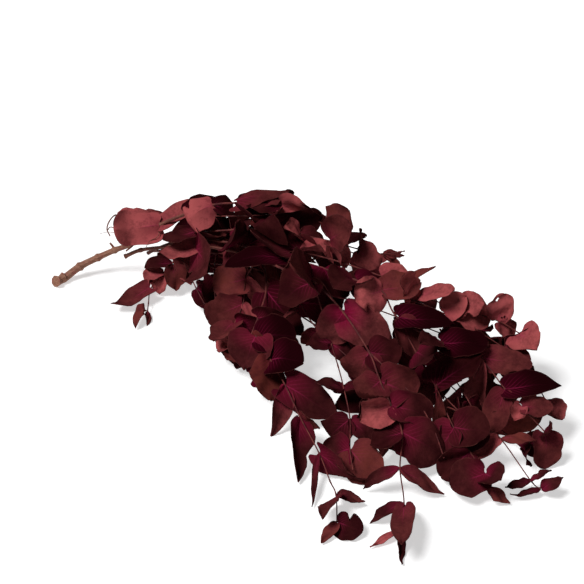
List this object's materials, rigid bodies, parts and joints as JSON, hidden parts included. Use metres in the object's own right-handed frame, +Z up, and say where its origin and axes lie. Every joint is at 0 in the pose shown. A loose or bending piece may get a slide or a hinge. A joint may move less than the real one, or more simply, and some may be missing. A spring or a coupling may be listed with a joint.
{
  "type": "bunch of dried eucalyptus",
  "caption": "Lying bunch of cut, dried and dyed eucalyptus, its leafy shoots fanning out from one woody end.",
  "frame": {"origin": "centre of the bunch's footprint on the surface that it lies on", "axes": "+X along the bunch from its woody cut end to the tips on the right, -Y to the side that the shoots fan out to, +Z up"},
  "size_m": [0.485, 0.4483, 0.1432],
  "materials": {
    "stem_1": "matt dried leaf, burgundy",
    "stem_2": "matt dried leaf, burgundy",
    "stem_3": "matt dried leaf, burgundy",
    "stem_4": "matt dried leaf, burgundy",
    "stem_5": "matt dried leaf, dark burgundy"
  },
  "bodies": {
    "root": {"stem_1_butt_and_crest": "stem_1", "stem_2_star_shoots": "stem_2", "stem_3_right_hand_shoots": "stem_3", "stem_4_front_shoots": "stem_4", "stem_5_under_shoots": "stem_5"}
  },
  "joints": []
}
